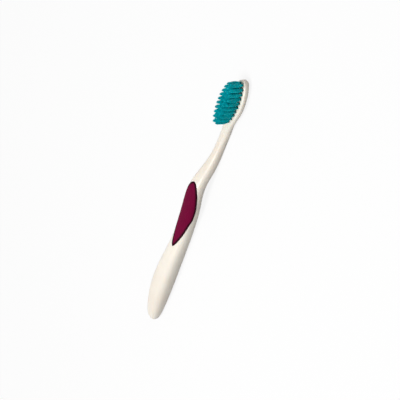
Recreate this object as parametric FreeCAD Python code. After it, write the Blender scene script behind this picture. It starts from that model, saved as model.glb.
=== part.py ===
import FreeCAD
import Part
import itertools
import math
import os

from FreeCAD import Vector

# A manual toothbrush: moulded handle, soft grip pad, bristle tufts and the anchors that hold them.
# It lies on its back. +X runs from the tail to the head, +Z is up, the way the bristles point,
# and the origin is on the table under the middle of the brush. Lengths are in millimetres.

# How far a cutting tool runs past what it cuts.
cut_overrun = 5.0

# Main sections of the handle, in order from the tail: the span from the section before it,
# the full width, and the heights of its back and its front above the table.
dome_span = 5.0
dome_width = 8.9
dome_back = 0.1
dome_front = 7.3
taper_span = 9.0
taper_width = 11.8
taper_back = 0.0
taper_front = 9.9
hip_span = 12.0
hip_width = 13.6
hip_back = 0.1
hip_front = 12.1
belly_span = 16.0
belly_width = 14.0
belly_back = 0.3
belly_front = 13.0
ebb_span = 16.0
ebb_width = 12.5
ebb_back = 0.2
ebb_front = 11.8
waist_span = 16.0
waist_width = 11.5
waist_back = 0.4
waist_front = 10.4
palm_span = 14.0
palm_width = 11.7
palm_back = 1.5
palm_front = 10.9
grip_span = 12.0
grip_width = 11.5
grip_back = 3.1
grip_front = 12.2
thumb_span = 10.0
thumb_width = 10.6
thumb_back = 4.8
thumb_front = 13.2
shoulder_span = 8.0
shoulder_width = 9.3
shoulder_back = 4.4
shoulder_front = 12.5
throat_span = 8.0
throat_width = 7.9
throat_back = 2.0
throat_front = 9.8
bend_span = 10.0
bend_width = 6.2
bend_back = 0.2
bend_front = 6.7
neck_span = 10.0
neck_width = 5.7
neck_back = 0.0
neck_front = 5.5
root_span = 8.0
root_width = 6.1
root_back = 0.1
root_front = 5.1

rest_depth = 0.15  # planed off the lowest parts of the back, so that the brush lies steady

# Head: a plate that flares out of the neck and ends, in plan, as half an ellipse.
tip_span = 16.0
head_width = 12.4
head_back = 1.9
head_thickness = 3.5
plane_depth = 0.3  # planed off the crown of the head's two broad faces to make them flat
plane_run_in = 20.0  # radius of the curve on which the planing runs in from the neck
tip_edge = 1.3  # the stretch over which the plate rounds off at the tip

# Roundness of the cross-sections: 1 is an ellipse, less is nearer a rectangle.
handle_round_share = 0.77
head_round_share = 0.55
section_points = 24

# Sections between the main ones: shares of the quarter turn round the tail's dome and round the head's tip,
# and shares of the flare.
dome_shares = (0.17, 0.39, 0.67)
tip_shares = (0.22, 0.44, 0.61, 0.76, 0.87, 0.94)
flare_shares = (0.2, 0.4, 0.6, 0.8, 1.0)
lift_share = 0.5  # share of the flare in which the plate reaches its own height

# Grip pad, let into the front of the handle.
pad_depth = 1.5
pad_proud = 0.2
pad_rim_radius = 0.15
pad_tail_reach = 7.2  # past the waist, towards the tail
pad_head_reach = 0.3  # past the shoulder, towards the head

# The pad's outline seen from the front: a share of the way from one section to another,
# and there the half width as a share of the handle's.
outline_shares = [
    ("ebb", "waist", 0.63, 0.21),
    ("ebb", "waist", 0.77, 0.36),
    ("waist", "waist", 0.0, 0.55),
    ("waist", "palm", 0.5, 0.79),
    ("palm", "palm", 0.0, 0.93),
    ("grip", "grip", 0.0, 1.12),
    ("thumb", "thumb", 0.0, 0.95),
    ("thumb", "shoulder", 0.5, 0.79),
    ("thumb", "shoulder", 0.85, 0.50),
]

# Height of the pad's lower edge along the flanks, as a share of each section's thickness.
waist_flank_share = 0.81
palm_flank_share = 0.70
grip_flank_share = 0.60
thumb_flank_share = 0.72
shoulder_flank_share = 0.85

# Bristle field: tufts along an outer and an inner oval.
field_tip_gap = 1.7  # from the head's tip to the outer oval
field_neck_gap = 7.9  # from the outer oval to the end of the neck
outer_row_length = 26.4
outer_width_share = 0.573  # of the head's width
outer_round_share = 1.05
outer_row_count = 20
inner_length_share = 0.803  # of the outer oval's length
inner_width_share = 0.352  # of the outer oval's width
inner_round_share = 0.67
inner_row_count = 16

# Tufts, the holes that they stand in and the anchors that pin them.
hole_depth = 3.0
hole_clearance = 0.02
tuft_clearance = 0.1  # between the tips of the two nearest tufts
tuft_spread = 0.2  # how much wider a tuft is at its tips than its hole
tuft_height = 10.4  # above the head's face
tuft_crown = 0.3
anchor_thickness = 0.3
anchor_height = 1.2
anchor_bite = 0.12  # how far each end of an anchor cuts into the wall of its hole
anchor_turn = 30.0  # degrees from straight across the head
fold_thickness = 0.5  # bent filaments between the anchor and the bottom of the hole

flank_shares = {
    "waist": waist_flank_share,
    "palm": palm_flank_share,
    "grip": grip_flank_share,
    "thumb": thumb_flank_share,
    "shoulder": shoulder_flank_share,
}

main_rows = {
    "dome": (dome_span, dome_width, dome_back, dome_front),
    "taper": (taper_span, taper_width, taper_back, taper_front),
    "hip": (hip_span, hip_width, hip_back, hip_front),
    "belly": (belly_span, belly_width, belly_back, belly_front),
    "ebb": (ebb_span, ebb_width, ebb_back, ebb_front),
    "waist": (waist_span, waist_width, waist_back, waist_front),
    "palm": (palm_span, palm_width, palm_back, palm_front),
    "grip": (grip_span, grip_width, grip_back, grip_front),
    "thumb": (thumb_span, thumb_width, thumb_back, thumb_front),
    "shoulder": (shoulder_span, shoulder_width, shoulder_back, shoulder_front),
    "throat": (throat_span, throat_width, throat_back, throat_front),
    "bend": (bend_span, bend_width, bend_back, bend_front),
    "neck": (neck_span, neck_width, neck_back, neck_front),
    "root": (root_span, root_width, root_back, root_front),
}

flare_span = field_neck_gap + outer_row_length + field_tip_gap - tip_span
overall_length = sum(row[0] for row in main_rows.values()) + flare_span + tip_span
tail_end = -overall_length / 2
head_end = overall_length / 2
head_top = head_back + head_thickness
crown_back = head_back - plane_depth
crown_front = head_top + plane_depth
quarter_turn = math.pi / 2
upward = Vector(0, 0, 1)


class Section:
    """A cross-section of the handle: place along X, width, and heights of the back and the front."""

    def __init__(self, place, width, back, front, roundness):
        self.place = place
        self.width = width
        self.back = back
        self.front = front
        self.roundness = roundness

    def height(self, share):
        return self.back + share * (self.front - self.back)

    def middle(self):
        return Vector(self.place, 0, self.height(0.5))

    def ring(self, grow=0.0):
        half_width = self.width / 2 + grow
        half_height = (self.front - self.back) / 2 + grow
        around = superellipse(half_width, half_height, self.roundness, section_points)
        return [self.middle() + Vector(0, y, z) for y, z in around]

    def towards(self, other, share):
        """The section part of the way to another one."""

        def mix(a, b):
            return a + share * (b - a)

        return Section(
            mix(self.place, other.place),
            mix(self.width, other.width),
            mix(self.back, other.back),
            mix(self.front, other.front),
            mix(self.roundness, other.roundness),
        )

    def shrunk(self, width_share, height_share):
        """The section drawn in towards its middle."""
        middle = self.height(0.5)
        half_height = height_share * (self.front - self.back) / 2
        return Section(
            self.place, width_share * self.width, middle - half_height, middle + half_height, self.roundness
        )


def superellipse(half_a, half_b, roundness, count):
    points = []
    for k in range(count):
        angle = 2 * math.pi * k / count
        a = math.copysign(abs(math.cos(angle)) ** roundness, math.cos(angle))
        b = math.copysign(abs(math.sin(angle)) ** roundness, math.sin(angle))
        points.append((half_a * a, half_b * b))
    return points


def spline(points, closed=False):
    curve = Part.BSplineCurve()
    curve.interpolate(Points=points, PeriodicFlag=closed)
    return curve.toShape()


def skin(start, rings, end):
    """A smooth solid through closed rings of points, drawn to a single point at each end."""
    turns = [k / section_points for k in range(section_points + 1)]
    pole_rings = []
    for ring in rings:
        around = Part.BSplineCurve()
        around.interpolate(Points=ring, PeriodicFlag=True, Parameters=turns)
        pole_rings.append(around.getPoles())
    pole_count = around.NbPoles
    pole_rings = [[start] * pole_count] + pole_rings + [[end] * pole_count]

    distances = [0.0]
    for ring, following in zip(pole_rings, pole_rings[1:]):
        step = sum(a.distanceToPoint(b) for a, b in zip(ring, following)) / pole_count
        distances.append(distances[-1] + step)

    pole_grid = []
    for line in zip(*pole_rings):
        along = Part.BSplineCurve()
        along.interpolate(Points=list(line), Parameters=distances)
        pole_grid.append(along.getPoles())

    surface = Part.BSplineSurface()
    surface.buildFromPolesMultsKnots(
        pole_grid,
        around.getMultiplicities(),
        along.getMultiplicities(),
        around.getKnots(),
        along.getKnots(),
        True,
        False,
        around.Degree,
        along.Degree,
    )
    halves = []
    for first, last in ((0, 0.5), (0.5, 1)):
        half = surface.copy()
        half.segment(first, last, distances[0], distances[-1])
        halves.append(half.toShape())
    shell = Part.Shell(halves)
    shell.sewShape()
    return Part.Solid(shell)


def main_sections():
    sections = {}
    place = tail_end
    for name, (span, width, back, front) in main_rows.items():
        place += span
        sections[name] = Section(place, width, back - rest_depth, front, handle_round_share)
    return sections


def tail_sections(sections):
    """The tail's rounded end: the taper carried on, drawn in like a quarter ellipse."""
    dome, taper = sections["dome"], sections["taper"]
    end = dome.towards(taper, -dome_span / taper_span)
    rounded = []
    for share in dome_shares:
        angle = share * quarter_turn
        rounded.append(end.towards(dome, 1 - math.cos(angle)).shrunk(math.sin(angle), math.sin(angle)))
    return end, rounded


def head_sections(sections):
    """The flare out of the neck, then half an ellipse in plan, to the tip."""
    root = sections["root"]
    widest = Section(root.place + flare_span, head_width, crown_back, crown_front, head_round_share)
    plate = []
    for share in flare_shares:
        flared = root.towards(widest, ease(share))
        lifted = root.towards(widest, ease(min(1, share / lift_share)))
        place = root.place + share * flare_span
        plate.append(Section(place, flared.width, lifted.back, lifted.front, flared.roundness))
    end = Section(widest.place + tip_span, head_width, crown_back, crown_front, head_round_share)
    for share in tip_shares:
        angle = share * quarter_turn
        whole = widest.towards(end, math.sin(angle))
        edge = min(1, (end.place - whole.place) / tip_edge)
        plate.append(whole.shrunk(math.cos(angle), math.sqrt(1 - (1 - edge) ** 2)))
    return plate, end


def ease(share):
    return (1 - math.cos(math.pi * share)) / 2


def side_prism(edges):
    """A profile drawn in the XZ plane, carried right across the brush."""
    profile = Part.Face(Part.Wire(edges))
    profile.translate(Vector(0, -belly_width, 0))
    return profile.extrude(Vector(0, 2 * belly_width, 0))


def polyline(corners):
    return [Part.makeLine(a, b) for a, b in zip(corners, corners[1:])]


def rectangle(start, end, bottom, top):
    corners = [(start, bottom), (end, bottom), (end, top), (start, top), (start, bottom)]
    return polyline([Vector(x, 0, z) for x, z in corners])


def planing_tools(sections):
    """What is planed off the head's front, off its back, with a curved run-in, and off the handle's back."""
    start = sections["root"].place
    past = head_end + cut_overrun
    front = rectangle(start, past, head_top, head_top + cut_overrun)
    rest = rectangle(tail_end - cut_overrun, past, -cut_overrun, 0)
    level = Vector(start + lift_share * flare_span, 0, head_back)
    centre = level - plane_run_in * upward
    low = centre + plane_run_in * Vector(-1, 0, 0)
    half_way = centre + plane_run_in * Vector(-math.sqrt(0.5), 0, math.sqrt(0.5))
    corner = Vector(past, 0, low.z)
    back = [Part.Arc(low, half_way, level).toShape()]
    back += polyline([level, Vector(past, 0, head_back), corner, low])
    return [side_prism(front), side_prism(back), side_prism(rest)]


def moulded_body(sections):
    """Handle, neck and head plate as one smooth body."""
    tail, rounded = tail_sections(sections)
    plate, tip = head_sections(sections)
    rings = [section.ring() for section in rounded + list(sections.values()) + plate]
    body = skin(tail.middle(), rings, tip.middle())
    return body.cut(planing_tools(sections))


def grown_handle(sections, grow):
    """The handle between tail and neck, with every section grown, or shrunk, all round."""
    names = list(sections)
    rings = [sections[name].ring(grow) for name in names[1:-1]]
    return skin(sections[names[0]].middle(), rings, sections[names[-1]].middle())


def pad_room(sections):
    """The space of the grip pad: inside its outline from the front, above its lower edge from the side."""
    tail_point = Vector(sections["waist"].place - pad_tail_reach, 0, 0)
    head_point = Vector(sections["shoulder"].place + pad_head_reach, 0, 0)
    top = thumb_front + cut_overrun
    left = []
    for name, following, way_share, width_share in outline_shares:
        between = sections[name].towards(sections[following], way_share)
        left.append(Vector(between.place, width_share * between.width / 2, 0))
    right = [Vector(point.x, -point.y, 0) for point in reversed(left)]
    outline = spline([tail_point] + left + [head_point] + right, closed=True)
    upright = Part.Face(Part.Wire(outline)).extrude(top * upward)

    edge = []
    for name, share in flank_shares.items():
        edge.append(Vector(sections[name].place, 0, sections[name].height(share)))
    edge.insert(0, Vector(tail_point.x - cut_overrun, 0, edge[0].z))
    edge.append(Vector(head_point.x + cut_overrun, 0, edge[-1].z))
    corners = [edge[-1], Vector(edge[-1].x, 0, top), Vector(edge[0].x, 0, top), edge[0]]
    return upright.common(side_prism([spline(edge)] + polyline(corners)))


def tuft_row(length, width, roundness, count):
    """Twice as many places as tufts, at even steps round an oval from its end towards the head's tip."""
    centre = Vector(head_end - field_tip_gap - outer_row_length / 2, 0, 0)
    around = superellipse(length / 2, width / 2, roundness, 2 * section_points)
    oval = spline([centre + Vector(x, y, 0) for x, y in around], closed=True)
    return oval.discretize(Number=2 * count + 1)[:-1]


def tuft_places():
    """Places of the tufts by name: the outer row stands in pairs, the inner one starts on the middle line."""
    outer_width = outer_width_share * head_width
    inner_length = inner_length_share * outer_row_length
    inner_width = inner_width_share * outer_width
    outer = tuft_row(outer_row_length, outer_width, outer_round_share, outer_row_count)[1::2]
    inner = tuft_row(inner_length, inner_width, inner_round_share, inner_row_count)[0::2]
    named = {f"tuft_outer_{number:02d}": place for number, place in enumerate(outer, start=1)}
    named.update({f"tuft_inner_{number:02d}": place for number, place in enumerate(inner, start=1)})
    return named


def bore_diameter(places):
    """Diameter of the holes: as wide as the two nearest tufts leave room for."""
    nearest = min(a.distanceToPoint(b) for a, b in itertools.combinations(places, 2))
    return nearest - tuft_clearance - tuft_spread


def hole(place, bore):
    bottom = place + (head_top - hole_depth) * upward
    return Part.makeCylinder(bore / 2, hole_depth + cut_overrun, bottom)


def anchor(place, bore):
    """The flat metal blade that pins a tuft at the bottom of its hole."""
    length = bore + 2 * anchor_bite
    bottom = head_top - hole_depth + fold_thickness
    blade = Part.makeBox(
        anchor_thickness, length, anchor_height, Vector(-anchor_thickness / 2, -length / 2, bottom)
    )
    blade.rotate(Vector(), upward, anchor_turn)
    blade.translate(place)
    return blade


def tuft(place, bore):
    """A bundle of filaments, folded round its anchor and spreading towards the trimmed tips."""
    root_radius = bore / 2 - hole_clearance
    tip_radius = (bore + tuft_spread) / 2
    bottom = head_top - hole_depth
    tip = head_top + tuft_height
    shoulder = Vector(tip_radius, 0, tip - tuft_crown)
    crown = Vector(0, 0, tip)
    crown_radius = (tip_radius**2 + tuft_crown**2) / (2 * tuft_crown)
    half_angle = math.asin(tip_radius / crown_radius) / 2
    bulge = crown + crown_radius * Vector(math.sin(half_angle), 0, math.cos(half_angle) - 1)
    sides = [
        crown,
        Vector(0, 0, bottom),
        Vector(root_radius, 0, bottom),
        Vector(root_radius, 0, head_top),
        shoulder,
    ]
    profile = Part.Wire(polyline(sides) + [Part.Arc(shoulder, bulge, crown).toShape()])
    bundle = Part.Face(profile).revolve(Vector(), upward, 360)
    bundle.translate(place)
    return bundle.cut(anchor(place, bore))


def grip_pad(sections, room, core):
    """The pad, a little proud of the handle, with its rim eased."""
    pad = room.common(grown_handle(sections, pad_proud)).cut(core)
    crown = max(pad.Faces, key=lambda face: face.Area)
    return pad.makeFillet(pad_rim_radius, crown.Edges)


def main():
    sections = main_sections()
    places = tuft_places()
    bore = bore_diameter(places.values())
    anchors = Part.makeCompound([anchor(place, bore) for place in places.values()])
    holes = Part.makeCompound([hole(place, bore) for place in places.values()])
    room = pad_room(sections)
    core = grown_handle(sections, -pad_depth)

    nodes = {
        "handle": moulded_body(sections).cut(room.cut(core)).cut(holes).cut(anchors),
        "grip_pad": grip_pad(sections, room, core),
        "tuft_anchors": anchors,
    }
    for name, place in places.items():
        nodes[name] = tuft(place, bore)

    os.makedirs("parts", exist_ok=True)
    for name, shape in nodes.items():
        shape.exportStep(f"parts/{name}.step")


main()
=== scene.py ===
import bmesh
import bpy
import math
from mathutils import Matrix, Vector
from mathutils.bvhtree import BVHTree


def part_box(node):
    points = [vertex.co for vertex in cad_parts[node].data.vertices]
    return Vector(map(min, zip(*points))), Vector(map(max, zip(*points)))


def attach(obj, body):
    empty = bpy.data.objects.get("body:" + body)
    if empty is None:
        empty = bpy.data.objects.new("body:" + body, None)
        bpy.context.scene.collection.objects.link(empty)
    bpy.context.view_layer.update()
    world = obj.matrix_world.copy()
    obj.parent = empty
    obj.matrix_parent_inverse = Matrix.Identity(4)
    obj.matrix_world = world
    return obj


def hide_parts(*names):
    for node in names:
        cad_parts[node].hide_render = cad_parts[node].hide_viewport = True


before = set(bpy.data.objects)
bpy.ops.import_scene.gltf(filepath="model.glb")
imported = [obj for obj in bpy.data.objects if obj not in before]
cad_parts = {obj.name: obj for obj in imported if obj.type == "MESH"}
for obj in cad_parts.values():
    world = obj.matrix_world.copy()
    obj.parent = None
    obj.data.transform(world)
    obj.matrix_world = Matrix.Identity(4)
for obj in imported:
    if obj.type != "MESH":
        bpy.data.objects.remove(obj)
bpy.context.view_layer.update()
print("frame loaded:", len(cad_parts), "nodes")

mm = 0.001
scene = bpy.context.scene
scene.view_settings.view_transform = "Standard"


def tint(red, green, blue):
    # screen colour, 0 to 255, to the linear colour that a shader takes
    parts = [value / 255 for value in (red, green, blue)]
    return tuple(p / 12.92 if p <= 0.04045 else ((p + 0.055) / 1.055) ** 2.4 for p in parts) + (1.0,)


def placeObject(name, data):
    piece = bpy.data.objects.new(name, data)
    scene.collection.objects.link(piece)
    return piece


def addNode(tree, kind, spot=(0, 0), **settings):
    node = tree.nodes.new(kind)
    node.location = spot
    for key, value in settings.items():
        setattr(node, key, value)
    return node


def addMaths(tree, operation, spot, *values):
    # one Math node; each value is a socket or a plain number
    node = addNode(tree, "ShaderNodeMath", spot, operation=operation)
    for socket, value in zip(node.inputs, values):
        if isinstance(value, (int, float)):
            socket.default_value = value
        else:
            tree.links.new(value, socket)
    return node.outputs[0]


def addMix(tree, factor, first, second, spot):
    # mixes two colours by a factor socket; each colour is a socket or a plain colour
    node = addNode(tree, "ShaderNodeMix", spot, data_type="RGBA")
    tree.links.new(factor, node.inputs[0])
    for socket, colour in ((node.inputs[6], first), (node.inputs[7], second)):
        if isinstance(colour, tuple):
            socket.default_value = colour
        else:
            tree.links.new(colour, socket)
    return node.outputs[2]


def addRange(tree, source, low, high, toLow, toHigh, spot):
    node = addNode(tree, "ShaderNodeMapRange", spot)
    for socket, value in zip(list(node.inputs)[1:5], (low, high, toLow, toHigh)):
        socket.default_value = value
    tree.links.new(source, node.inputs[0])
    return node.outputs[0]


# camera, at the angle the brush was photographed from
cameraSetup = {
    "place": (340.367, -325.623, 377.735),  # mm
    "right": (0.305297, -0.568796, -0.763718),
    "up": (0.772687, 0.616707, -0.150424),
    "lens": 87.617,  # mm, for the sensor width below
    "sensor": 36.0,
    "clip": (0.01, 30.0),  # m
}


def makeCamera(setup):
    right, up = Vector(setup["right"]), Vector(setup["up"])
    turn = Matrix((right, up, right.cross(up))).transposed().to_4x4()
    data = bpy.data.cameras.new("camera")
    data.lens = setup["lens"]
    data.sensor_width = setup["sensor"]
    data.clip_start, data.clip_end = setup["clip"]
    camera = placeObject("camera", data)
    camera.matrix_world = Matrix.Translation(Vector(setup["place"]) * mm) @ turn
    scene.camera = camera


makeCamera(cameraSetup)
print("camera set")

# pale floor, one large soft lamp above, and weak cards off the tip's end and behind
studioSetup = {
    "floorHalf": 4.0,  # m
    "floorDrop": 0.04 * mm,
    "floorColour": tint(246, 246, 246),
    "bounceColour": tint(140, 139, 137),  # the floor as matt surfaces see it
    "shadowShare": 0.14,  # how much of the floor's own shading the camera sees
    "fade": (0.25, 0.8),  # metres from the middle over which even that gives way to plain white
    "skyStrength": 0.3,
    "lamps": {  # reach and size in metres, power in watts
        "softbox": {"from": (-0.08, -0.27, 0.96), "reach": 0.9, "size": 0.36, "power": 5.4},
        "tipCard": {"from": (0.95, -0.15, 0.3), "reach": 2.2, "size": 1.1, "power": 7.8},
        "backCard": {"from": (-0.35, 0.80, 0.45), "reach": 2.2, "size": 1.2, "power": 2.8},
    },
}


def cameraSees(tree, path, spot):
    # 1 for camera, glossy and transmission rays, so that reflections show the same white
    either = addMaths(tree, "MAXIMUM", spot, path.outputs["Is Camera Ray"], path.outputs["Is Glossy Ray"])
    return addMaths(tree, "MAXIMUM", (spot[0] + 180, spot[1]), either, path.outputs["Is Transmission Ray"])


def makeFloor(setup):
    half, low = setup["floorHalf"], -setup["floorDrop"]
    corners = [(x * half, y * half, low) for x, y in ((-1, -1), (1, -1), (1, 1), (-1, 1))]
    mesh = bpy.data.meshes.new("floor")
    mesh.from_pydata(corners, [], [(0, 1, 2, 3)])
    floor = placeObject("floor", mesh)

    material = bpy.data.materials.new("paleFloor")
    material.use_nodes = True
    tree = material.node_tree
    tree.nodes.clear()
    path = addNode(tree, "ShaderNodeLightPath", (-800, 200))
    matt = addNode(tree, "ShaderNodeBsdfDiffuse", (0, 0))
    glow = addNode(tree, "ShaderNodeEmission", (0, -150))
    mix = addNode(tree, "ShaderNodeMixShader", (300, 0))
    out = addNode(tree, "ShaderNodeOutputMaterial", (500, 0))
    place = addNode(tree, "ShaderNodeTexCoord", (-800, -200))
    away = addNode(tree, "ShaderNodeVectorMath", (-600, -200), operation="LENGTH")
    tree.links.new(place.outputs["Object"], away.inputs[0])
    nearest = 1 - setup["shadowShare"]
    plain = addRange(tree, away.outputs["Value"], *setup["fade"], nearest, 1.0, (-400, -200))
    share = addMaths(tree, "MULTIPLY", (0, 200), cameraSees(tree, path, (-500, 300)), plain)
    bounced = path.outputs["Is Diffuse Ray"]
    colour = addMix(tree, bounced, setup["floorColour"], setup["bounceColour"], (-250, 0))
    tree.links.new(colour, matt.inputs["Color"])
    tree.links.new(share, mix.inputs[0])
    tree.links.new(matt.outputs[0], mix.inputs[1])
    tree.links.new(glow.outputs[0], mix.inputs[2])
    tree.links.new(mix.outputs[0], out.inputs["Surface"])
    mesh.materials.append(material)


def makeLights(setup):
    world = bpy.data.worlds.new("studio")
    scene.world = world
    world.use_nodes = True
    tree = world.node_tree
    tree.nodes.clear()
    path = addNode(tree, "ShaderNodeLightPath", (-600, 200))
    sky = addNode(tree, "ShaderNodeBackground", (0, 0))
    sky.inputs["Strength"].default_value = setup["skyStrength"]
    white = addNode(tree, "ShaderNodeBackground", (0, -150))
    mix = addNode(tree, "ShaderNodeMixShader", (200, 0))
    out = addNode(tree, "ShaderNodeOutputWorld", (400, 0))
    for background in (sky, white):
        background.inputs["Color"].default_value = (1, 1, 1, 1)
    tree.links.new(cameraSees(tree, path, (-400, 200)), mix.inputs[0])
    tree.links.new(sky.outputs[0], mix.inputs[1])
    tree.links.new(white.outputs[0], mix.inputs[2])
    tree.links.new(mix.outputs[0], out.inputs["Surface"])

    for name, lamp in setup["lamps"].items():
        data = bpy.data.lights.new(name, "AREA")
        data.shape = "DISK"
        data.size = lamp["size"]
        data.energy = lamp["power"]
        light = placeObject(name, data)
        way = Vector(lamp["from"]).normalized()
        aim = way.to_track_quat("Z", "Y").to_matrix().to_4x4()
        light.matrix_world = Matrix.Translation(way * lamp["reach"]) @ aim


makeFloor(studioSetup)
makeLights(studioSetup)
print("floor and lamps set")

# fine texture that all the finishes share: slow drift of tone, and the skin left by the mould
skinSetup = {
    "Drift": {"scale": 40.0, "detail": 3, "height": 200},
    "Skin": {"scale": 900.0, "detail": 4, "height": -100},
}
noiseBand = (0.3, 0.7)  # where most of a noise's values lie


def makeMouldSkin(setup):
    group = bpy.data.node_groups.new("mouldSkin", "ShaderNodeTree")
    start = addNode(group, "NodeGroupInput", (-600, 0))
    end = addNode(group, "NodeGroupOutput", (300, 0))
    place = addNode(group, "ShaderNodeTexCoord", (-600, 300))
    for name, values in setup.items():
        scale = group.interface.new_socket(name + " Scale", in_out="INPUT", socket_type="NodeSocketFloat")
        scale.default_value = values["scale"]
        group.interface.new_socket(name, in_out="OUTPUT", socket_type="NodeSocketFloat")
        noise = addNode(group, "ShaderNodeTexNoise", (-200, values["height"]))
        noise.inputs["Detail"].default_value = values["detail"]
        group.links.new(place.outputs["Object"], noise.inputs["Vector"])
        group.links.new(start.outputs[name + " Scale"], noise.inputs["Scale"])
        group.links.new(noise.outputs["Fac"], end.inputs[name])
    return group


mouldSkin = makeMouldSkin(skinSetup)


def startMaterial(name):
    material = bpy.data.materials.new(name)
    material.use_nodes = True
    tree = material.node_tree
    tree.nodes.clear()
    shader = addNode(tree, "ShaderNodeBsdfPrincipled", (500, 0))
    out = addNode(tree, "ShaderNodeOutputMaterial", (800, 0))
    tree.links.new(shader.outputs[0], out.inputs["Surface"])
    return material, tree, shader


def addSkin(tree, shader, setup):
    # gives the finish its roughness and bump, and hands back the drift of tone
    node = addNode(tree, "ShaderNodeGroup", (-900, -200))
    node.node_tree = mouldSkin
    node.inputs["Drift Scale"].default_value = setup["driftScale"]
    node.inputs["Skin Scale"].default_value = setup["skinScale"]
    rough = addRange(tree, node.outputs["Skin"], *noiseBand, *setup["roughness"], (-500, -200))
    tree.links.new(rough, shader.inputs["Roughness"])
    bump = addNode(tree, "ShaderNodeBump", (200, -300))
    bump.inputs["Strength"].default_value = setup["skinStrength"]
    bump.inputs["Distance"].default_value = setup["skinDepth"]
    tree.links.new(node.outputs["Skin"], bump.inputs["Height"])
    tree.links.new(bump.outputs[0], shader.inputs["Normal"])
    return node.outputs["Drift"]


def setGlow(shader, setup):
    # light that passes a little way through the plastic
    shader.inputs["Subsurface Weight"].default_value = setup["glow"]
    shader.inputs["Subsurface Radius"].default_value = setup["glowSpread"]
    shader.inputs["Subsurface Scale"].default_value = setup["glowDepth"]


def addAttribute(tree, name, spot):
    return addNode(tree, "ShaderNodeAttribute", spot, attribute_name=name).outputs["Fac"]


def setMaterial(piece, material):
    piece.data.materials.clear()
    piece.data.materials.append(material)


def startTree(name, counts, lengths):
    # a Geometry Nodes tree with its named inputs
    tree = bpy.data.node_groups.new(name, "GeometryNodeTree")
    sockets = tree.interface
    sockets.new_socket("Geometry", in_out="INPUT", socket_type="NodeSocketGeometry")
    for names, kind in ((counts, "NodeSocketInt"), (lengths, "NodeSocketFloat")):
        for title in names:
            sockets.new_socket(title, in_out="INPUT", socket_type=kind)
    sockets.new_socket("Geometry", in_out="OUTPUT", socket_type="NodeSocketGeometry")
    return tree, addNode(tree, "NodeGroupInput", (-1800, 0)).outputs


def finishTree(tree, geometry, material, left):
    smooth = addNode(tree, "GeometryNodeSetShadeSmooth", (left, 200))
    real = addNode(tree, "GeometryNodeRealizeInstances", (left + 150, 200))
    painted = addNode(tree, "GeometryNodeSetMaterial", (left + 300, 200))
    painted.inputs["Material"].default_value = material
    end = addNode(tree, "NodeGroupOutput", (left + 450, 200))
    tree.links.new(geometry, smooth.inputs["Geometry"])
    tree.links.new(smooth.outputs[0], real.inputs[0])
    tree.links.new(real.outputs[0], painted.inputs["Geometry"])
    tree.links.new(painted.outputs[0], end.inputs["Geometry"])


def store(tree, geometry, name, value, kind, spot):
    node = addNode(tree, "GeometryNodeStoreNamedAttribute", spot, data_type=kind, domain="POINT")
    node.inputs["Name"].default_value = name
    tree.links.new(geometry, node.inputs["Geometry"])
    tree.links.new(value, node.inputs["Value"])
    return node.outputs[0]


def recall(tree, name, kind, spot):
    node = addNode(tree, "GeometryNodeInputNamedAttribute", spot, data_type=kind)
    node.inputs["Name"].default_value = name
    return node.outputs[0]


def addNodesModifier(piece, tree, values):
    modifier = piece.modifiers.new(tree.name, "NODES")
    modifier.node_group = tree
    # inputs go by their sockets' identifiers
    for item in tree.interface.items_tree:
        if item.in_out == "INPUT" and item.name in values:
            modifier[item.identifier] = values[item.name]


def settle(piece):
    # turns what the modifiers give into the piece's own plain mesh
    shown = piece.evaluated_get(bpy.context.evaluated_depsgraph_get())
    mesh = bpy.data.meshes.new_from_object(shown)
    old = piece.data
    piece.modifiers.clear()
    piece.data = mesh
    mesh.name = piece.name
    bpy.data.meshes.remove(old)
    return mesh


# handle: satin ivory moulding
handleSetup = {
    "pale": tint(250, 243, 231),
    "deep": tint(245, 235, 221),
    "driftScale": 35.0,
    "skinScale": 700.0,
    "skinStrength": 0.3,
    "skinDepth": 0.006 * mm,
    "roughness": (0.30, 0.40),
    "refraction": 1.49,
    "glow": 0.15,
    "glowSpread": (1.0, 0.8, 0.6),
    "glowDepth": 1.2 * mm,
}


def makeIvory(setup):
    material, tree, shader = startMaterial("ivoryPlastic")
    drift = addSkin(tree, shader, setup)
    amount = addRange(tree, drift, *noiseBand, 0.0, 1.0, (-500, 200))
    colour = addMix(tree, amount, setup["pale"], setup["deep"], (-200, 200))
    tree.links.new(colour, shader.inputs["Base Color"])
    shader.inputs["IOR"].default_value = setup["refraction"]
    setGlow(shader, setup)
    return material


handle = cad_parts["handle"]
setMaterial(handle, makeIvory(handleSetup))
print("handle finished")

# grip pad: soft wine-red rubber with a fine grain, its rim rounded down into the handle; painted shade
# darkens the rim and the grain's pits
padSetup = {
    "crown": tint(120, 6, 56),
    # painted shade: the darker colour in the grain's pits, also the dark end of the random tone drift
    "pit": tint(104, 4, 47),
    # painted shade: the dark colour where the pad's rim dips into its groove by the handle
    "rim": tint(46, 2, 20),
    "rimWidth": (1.0 * mm, 1.7 * mm),  # distances from the handle where the rim's painted shade is full and gone
    "pitShare": 0.5,  # how far the grain's pits, and the drift of tone, go towards the pit's colour, which is painted shade in the pits and the dark end of the random drift
    "driftShare": 0.5,
    "driftScale": 60.0,
    "skinScale": 2600.0,
    "skinStrength": 0.3,
    "skinDepth": 0.01 * mm,
    "roughness": (0.55, 0.7),
    "gloss": 0.05,
    "voxel": 0.2 * mm,
    "easing": 10,  # smoothing passes that round the rim
    "easingFactor": 0.5,
    "grainSize": 0.75 * mm,
    "grainDepth": 0.035 * mm,
    "pitSlope": (0.15, 0.65),  # shares of a grain where its pit starts and is full
}
weldDistance = 0.001 * mm


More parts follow.
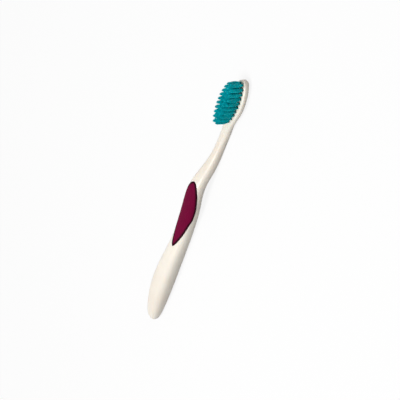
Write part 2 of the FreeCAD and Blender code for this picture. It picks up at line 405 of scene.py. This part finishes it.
def makeWineRubber(setup):
    material, tree, shader = startMaterial("wineRubber")
    pit = addAttribute(tree, "pit", (-900, 300))
    rim = addAttribute(tree, "rim", (-900, 500))
    drift = addRange(tree, addSkin(tree, shader, setup), *noiseBand, 0.0, setup["driftShare"], (-650, 100))
    # painted shade in the grain's pits, added to the random drift of tone
    driftAndPitShade = addMaths(tree, "MULTIPLY_ADD", (-450, 200), pit, setup["pitShare"], drift)
    colour = addMix(tree, driftAndPitShade, setup["crown"], setup["pit"], (-200, 250))
    # painted shade along the rim, where the groove by the handle would be in shadow
    colour = addMix(tree, rim, colour, setup["rim"], (0, 250))
    tree.links.new(colour, shader.inputs["Base Color"])
    shader.inputs["Specular IOR Level"].default_value = setup["gloss"]
    return material


def makeGrainTree(material, setup):
    tree, given = startTree("rubberGrain", (), ("Grain Size", "Grain Depth"))
    link = tree.links.new
    cells = addNode(tree, "ShaderNodeTexVoronoi", (-400, -200))
    link(addMaths(tree, "DIVIDE", (-600, -200), 1.0, given["Grain Size"]), cells.inputs["Scale"])
    pit = addRange(tree, cells.outputs["Distance"], *setup["pitSlope"], 0.0, 1.0, (-200, -200))
    rim = recall(tree, "rim", "FLOAT", (-400, -450))
    inner = addRange(tree, rim, 0.0, 1.0, 1.0, 0.0, (-200, -450))
    deep = addMaths(tree, "MULTIPLY", (0, -200), pit, inner)
    sunk = addMaths(tree, "MULTIPLY", (200, -200), deep, given["Grain Depth"])
    turned = addMaths(tree, "MULTIPLY", (350, -200), sunk, -1.0)
    inward = addNode(tree, "ShaderNodeVectorMath", (500, -200), operation="SCALE")
    link(addNode(tree, "GeometryNodeInputNormal", (350, -400)).outputs[0], inward.inputs[0])
    link(turned, inward.inputs["Scale"])
    noted = store(tree, given["Geometry"], "pit", deep, "FLOAT", (400, 100))
    pressed = addNode(tree, "GeometryNodeSetPosition", (650, 100))
    link(noted, pressed.inputs["Geometry"])
    link(inward.outputs[0], pressed.inputs["Offset"])
    finishTree(tree, pressed.outputs[0], material, 800)
    return tree


def joinedCopy(name, source):
    # copy of a node's mesh with its loose triangles joined up
    mesh = source.data.copy()
    mesh.name = name
    joined = bmesh.new()
    joined.from_mesh(mesh)
    bmesh.ops.remove_doubles(joined, verts=joined.verts, dist=weldDistance)
    joined.to_mesh(mesh)
    joined.free()
    return mesh


def markRim(mesh, rimWidth):
    # the rim, darkened with painted shade and kept free of pits, is what lies close to the handle
    full, gone = rimWidth
    seat = joinedCopy("seat", handle)
    finder = BVHTree.FromPolygons([v.co for v in seat.vertices], [p.vertices for p in seat.polygons])
    rim = mesh.attributes.new("rim", "FLOAT", "POINT")
    for vertex in mesh.vertices:
        gap = finder.find_nearest(vertex.co)[3]
        rim.data[vertex.index].value = min(1.0, max(0.0, (gone - gap) / (gone - full)))
    bpy.data.meshes.remove(seat)


def makePad(setup):
    piece = placeObject("thumbPad", joinedCopy("thumbPad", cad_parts["grip_pad"]))
    even = piece.modifiers.new("even", "REMESH")
    even.mode = "VOXEL"
    even.voxel_size = setup["voxel"]
    ease = piece.modifiers.new("ease", "SMOOTH")
    ease.factor = setup["easingFactor"]
    ease.iterations = setup["easing"]
    markRim(settle(piece), setup["rimWidth"])

    grain = makeGrainTree(makeWineRubber(setup), setup)
    addNodesModifier(piece, grain, {"Grain Size": setup["grainSize"], "Grain Depth": setup["grainDepth"]})
    mesh = settle(piece)
    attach(piece, "root")
    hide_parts("grip_pad")
    print("grip pad finished:", len(mesh.polygons), "faces")


makePad(padSetup)

# anchors, out of sight at the bottom of the holes
anchorSetup = {
    "bright": tint(214, 178, 96),
    "dull": tint(160, 122, 60),
    "driftScale": 700.0,
    "skinScale": 4000.0,
    "skinStrength": 0.2,
    "skinDepth": 0.01 * mm,
    "roughness": (0.25, 0.45),
}


def makeAnchorBrass(setup):
    material, tree, shader = startMaterial("anchorBrass")
    drift = addSkin(tree, shader, setup)
    colour = addMix(tree, drift, setup["bright"], setup["dull"], (-200, 200))
    tree.links.new(colour, shader.inputs["Base Color"])
    shader.inputs["Metallic"].default_value = 1.0
    return material


setMaterial(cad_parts["tuft_anchors"], makeAnchorBrass(anchorSetup))
print("anchors finished")

# bristles: every tuft is a bundle of nylon filaments that fills out above the head, with painted shade at
# its roots
bristleSetup = {
    "face": 5.4 * mm,  # height of the head's face
    "sunk": 1.6 * mm,  # how far the filaments reach below it
    "filaments": 76,  # in one tuft
    "thickness": 0.165 * mm,
    "rings": 7,
    "sides": 5,
    "rootSpread": 0.64 * mm,
    "fillOut": (0.18, 0.46),  # shares of the length over which a tuft fills out to its belly
    "drawIn": (0.62, 1.0),  # and then turns to the spread of its tip
    "taper": (0.8, 0.5),  # where along its length a filament starts to taper, and what is left at its tip
    "turnJitter": 0.25,  # radians
    "lengthJitter": 0.2 * mm,
    "waver": 0.2 * mm,
    "bend": 1.7,  # 1 leans straight, more bends mostly near the tip
    "sideLean": 0.25 * mm,  # how far the outer tufts lean at their tips: to the sides,
    "tipLean": 0.6 * mm,  # towards the tip of the head
    "tailLean": 0.08 * mm,  # and towards the tail
    "leanPower": 3,  # keeps the last two to the ends of the field
    # painted shade: the dark colour at the foot of each tuft, where the bundles shade the roots
    "root": tint(0, 92, 84),
    "middle": tint(0, 222, 234),
    "tip": tint(4, 224, 236),
    "rootShadeBand": (0.17, 0.28),  # shares of the length over which the painted shade at the root fades out
    "tipBand": (0.6, 1.0),
    "toneShare": 0.35,  # how much lighter the lightest filament is
    "driftShare": (0.7, 0.95),
    "driftScale": 450.0,
    "skinScale": 6000.0,
    "skinStrength": 0.15,
    "skinDepth": 0.01 * mm,
    "roughness": (0.35, 0.5),
    "gloss": 0.2,
    "glow": 0.6,
    "glowSpread": (0.3, 1.0, 1.0),
    "glowDepth": 0.5 * mm,
    "rows": {
        "bristlesOuter": {
            "nodes": "tuft_outer", "seed": 1, "belly": 1.26 * mm, "tip": 0.86 * mm, "dome": 1.5 * mm,
        },
        "bristlesInner": {
            "nodes": "tuft_inner", "seed": 2, "belly": 1.35 * mm, "tip": 1.35 * mm, "dome": 0.5 * mm,
        },
    },
}
goldenTurn = math.pi * (3 - math.sqrt(5))
seedSteps = {"tone": 3, "trim": 5, "drift": 7, "turn": 11}  # one draw each, from the tree's seed


def makeNylon(setup):
    material, tree, shader = startMaterial("tealNylon")
    along = addAttribute(tree, "along", (-900, 200))
    tone = addAttribute(tree, "tone", (-900, -50))
    # painted shade at the roots, fading out along the filament
    pastRootShade = addRange(tree, along, *setup["rootShadeBand"], 0.0, 1.0, (-650, 300))
    upper = addRange(tree, along, *setup["tipBand"], 0.0, 1.0, (-650, 50))
    colour = addMix(tree, pastRootShade, setup["root"], setup["middle"], (-400, 300))
    colour = addMix(tree, upper, colour, setup["tip"], (-200, 200))
    drift = addRange(tree, addSkin(tree, shader, setup), *noiseBand, *setup["driftShare"], (-700, -100))
    shift = addMaths(tree, "MULTIPLY_ADD", (-500, -50), tone, setup["toneShare"], drift)
    vary = addNode(tree, "ShaderNodeHueSaturation", (100, 200))
    tree.links.new(shift, vary.inputs["Value"])
    tree.links.new(colour, vary.inputs["Color"])
    tree.links.new(vary.outputs[0], shader.inputs["Base Color"])
    shader.inputs["Specular IOR Level"].default_value = setup["gloss"]
    setGlow(shader, setup)
    return material


def makeBristleTree(material, setup):
    counts = ("Filaments", "Rings", "Sides", "Seed")
    spreads = ("Root Spread", "Belly Spread", "Tip Spread")
    tree, given = startTree(
        "bristleBundle", counts, ("Thickness", "Length", *spreads, "Dome", "Length Jitter", "Waver")
    )
    link = tree.links.new

    def maths(operation, spot, *values):
        return addMaths(tree, operation, spot, *values)

    def vectorMaths(operation, a, b, spot):
        node = addNode(tree, "ShaderNodeVectorMath", spot, operation=operation)
        link(a, node.inputs[0])
        link(b, node.inputs["Scale"] if operation == "SCALE" else node.inputs[1])
        return node.outputs[0]

    def chance(low, high, purpose, spot):
        vector = isinstance(low, tuple)
        kind, first, result = ("FLOAT_VECTOR", 0, 0) if vector else ("FLOAT", 2, 1)
        node = addNode(tree, "FunctionNodeRandomValue", spot, data_type=kind)
        node.inputs[first].default_value = low
        node.inputs[first + 1].default_value = high
        seed = maths("ADD", (spot[0] - 200, spot[1] - 100), given["Seed"], seedSteps[purpose])
        link(seed, node.inputs["Seed"])
        return node.outputs[result]

    def swell(band, spot):
        # 0 below one share of the length, 1 above another, smooth between
        node = addNode(tree, "ShaderNodeMapRange", spot, interpolation_type="SMOOTHSTEP")
        node.inputs[1].default_value, node.inputs[2].default_value = band
        link(share, node.inputs[0])
        return node.outputs[0]

    # one point for each filament, in a sunflower pattern round the middle of its tuft
    points = addNode(tree, "GeometryNodeMeshToPoints", (-1500, 200))
    link(given["Geometry"], points.inputs["Mesh"])
    copies = addNode(tree, "GeometryNodeDuplicateElements", (-1300, 200), domain="POINT")
    link(points.outputs[0], copies.inputs["Geometry"])
    link(given["Filaments"], copies.inputs["Amount"])
    number = copies.outputs["Duplicate Index"]
    ratio = maths("DIVIDE", (-1100, -100), maths("ADD", (-1300, -100), number, 0.5), given["Filaments"])
    radius = maths("SQRT", (-900, -100), ratio)
    step = maths("MULTIPLY", (-1100, -300), number, goldenTurn)
    jitter = chance(-setup["turnJitter"], setup["turnJitter"], "turn", (-1300, -300))
    turn = maths("ADD", (-900, -300), step, jitter)
    spot = addNode(tree, "ShaderNodeCombineXYZ", (-500, -200))
    link(maths("MULTIPLY", (-700, -450), maths("COSINE", (-900, -450), turn), radius), spot.inputs[0])
    link(maths("MULTIPLY", (-700, -600), maths("SINE", (-900, -600), turn), radius), spot.inputs[1])
    stretch = maths("MULTIPLY", (-100, 500), chance(-1.0, 1.0, "trim", (-300, 500)), given["Length Jitter"])
    trim = maths("SUBTRACT", (0, 400), stretch, maths("MULTIPLY", (-300, 350), given["Dome"], ratio))
    drift = chance((-1, -1, 0), (1, 1, 0), "drift", (-200, 700))
    geometry = copies.outputs["Geometry"]
    geometry = store(tree, geometry, "spot", spot.outputs[0], "FLOAT_VECTOR", (-300, 200))
    geometry = store(tree, geometry, "tone", chance(0.0, 1.0, "tone", (-500, 500)), "FLOAT", (-100, 200))
    geometry = store(tree, geometry, "trim", trim, "FLOAT", (0, 200))
    geometry = store(tree, geometry, "drift", drift, "FLOAT_VECTOR", (100, 200))

    # a straight thread on each point
    thread = addNode(tree, "GeometryNodeCurvePrimitiveLine", (0, -200))
    top = addNode(tree, "ShaderNodeCombineXYZ", (-200, -250))
    link(given["Length"], top.inputs[2])
    link(top.outputs[0], thread.inputs["End"])
    ringed = addNode(tree, "GeometryNodeResampleCurve", (200, -200))
    link(thread.outputs[0], ringed.inputs["Curve"])
    link(given["Rings"], ringed.inputs["Count"])
    planted = addNode(tree, "GeometryNodeInstanceOnPoints", (400, 200))
    link(geometry, planted.inputs["Points"])
    link(ringed.outputs[0], planted.inputs["Instance"])
    real = addNode(tree, "GeometryNodeRealizeInstances", (600, 200))
    link(planted.outputs[0], real.inputs[0])

    # then spread with its tuft, bent and trimmed
    share = addNode(tree, "GeometryNodeSplineParameter", (200, -450)).outputs["Factor"]
    rise = maths("SUBTRACT", (200, -600), given["Belly Spread"], given["Root Spread"])
    turnIn = maths("SUBTRACT", (200, -750), given["Tip Spread"], given["Belly Spread"])
    fuller = maths("MULTIPLY", (400, -600), rise, swell(setup["fillOut"], (200, -900)))
    drawn = maths("MULTIPLY", (400, -750), turnIn, swell(setup["drawIn"], (200, -1050)))
    spread = maths("ADD", (800, -600), given["Root Spread"], maths("ADD", (600, -700), fuller, drawn))
    bend = maths("POWER", (400, -450), share, setup["bend"])
    waver = maths("MULTIPLY", (600, -1000), given["Waver"], bend)
    shove = vectorMaths("SCALE", recall(tree, "spot", "FLOAT_VECTOR", (600, -850)), spread, (1000, -600))
    sway = vectorMaths("SCALE", recall(tree, "drift", "FLOAT_VECTOR", (600, -1150)), waver, (1000, -900))
    lean = vectorMaths("SCALE", recall(tree, "lean", "FLOAT_VECTOR", (600, -1300)), bend, (1000, -1050))
    trimmed = maths("MULTIPLY", (800, -1200), recall(tree, "trim", "FLOAT", (600, -1450)), share)
    lift = addNode(tree, "ShaderNodeCombineXYZ", (1000, -1200))
    link(trimmed, lift.inputs[2])
    sideways = vectorMaths("ADD", shove, sway, (1200, -700))
    leaning = vectorMaths("ADD", lean, lift.outputs[0], (1200, -1000))
    moved = addNode(tree, "GeometryNodeSetPosition", (800, 200))
    link(real.outputs[0], moved.inputs["Geometry"])
    link(vectorMaths("ADD", sideways, leaning, (1350, -800)), moved.inputs["Offset"])
    geometry = store(tree, moved.outputs[0], "along", share, "FLOAT", (1000, 200))

    # round section, drawn in at the polished tip
    taperStart, tipFullness = setup["taper"]
    fullness = addRange(tree, share, taperStart, 1.0, 1.0, tipFullness, (800, 0))
    section = addNode(tree, "GeometryNodeCurvePrimitiveCircle", (1000, -200), mode="RADIUS")
    link(given["Sides"], section.inputs["Resolution"])
    link(maths("MULTIPLY", (800, -200), given["Thickness"], 0.5), section.inputs["Radius"])
    solid = addNode(tree, "GeometryNodeCurveToMesh", (1300, 200))
    solid.inputs["Fill Caps"].default_value = True
    link(geometry, solid.inputs["Curve"])
    link(section.outputs[0], solid.inputs["Profile Curve"])
    link(fullness, solid.inputs["Scale"])
    finishTree(tree, solid.outputs[0], material, 1450)
    return tree


def tuftNodes(start):
    return sorted(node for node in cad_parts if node.startswith(start))


def fieldBox(names):
    boxes = [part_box(name) for name in names]
    low = Vector([min(box[0][k] for box in boxes) for k in range(3)])
    high = Vector([max(box[1][k] for box in boxes) for k in range(3)])
    return low, high


def growBristles(name, row, setup, tree):
    nodes = tuftNodes(row["nodes"])
    low, high = fieldBox(tuftNodes("tuft_outer"))
    centre, reach = (low + high) / 2, (high - low) / 2
    rootHeight = setup["face"] - setup["sunk"]
    roots, leans = [], []
    for node in nodes:
        corner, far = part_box(node)
        middle = (corner + far) / 2
        roots.append((middle.x, middle.y, rootHeight))
        ahead = (middle.x - centre.x) / reach.x
        aside = (middle.y - centre.y) / reach.y
        forward = setup["tipLean"] * max(0.0, ahead) ** setup["leanPower"]
        backward = setup["tailLean"] * max(0.0, -ahead) ** setup["leanPower"]
        leans.append((forward - backward, setup["sideLean"] * aside, 0.0))
    mesh = bpy.data.meshes.new(name)
    mesh.from_pydata(roots, [], [])
    lean = mesh.attributes.new("lean", "FLOAT_VECTOR", "POINT")
    for number, value in enumerate(leans):
        lean.data[number].vector = value
    piece = placeObject(name, mesh)
    addNodesModifier(piece, tree, {
        "Filaments": setup["filaments"], "Rings": setup["rings"], "Sides": setup["sides"],
        "Seed": row["seed"], "Thickness": setup["thickness"], "Length": high.z - rootHeight,
        "Root Spread": setup["rootSpread"], "Belly Spread": row["belly"], "Tip Spread": row["tip"],
        "Dome": row["dome"], "Length Jitter": setup["lengthJitter"], "Waver": setup["waver"],
    })
    mesh = settle(piece)
    for spare in ("spot", "trim", "drift", "lean"):
        mesh.attributes.remove(mesh.attributes[spare])
    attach(piece, "root")
    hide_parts(*nodes)
    print(name, "grown:", len(nodes), "tufts,", len(mesh.polygons), "faces")


bristleTree = makeBristleTree(makeNylon(bristleSetup), bristleSetup)
for name, row in bristleSetup["rows"].items():
    growBristles(name, row, bristleSetup, bristleTree)
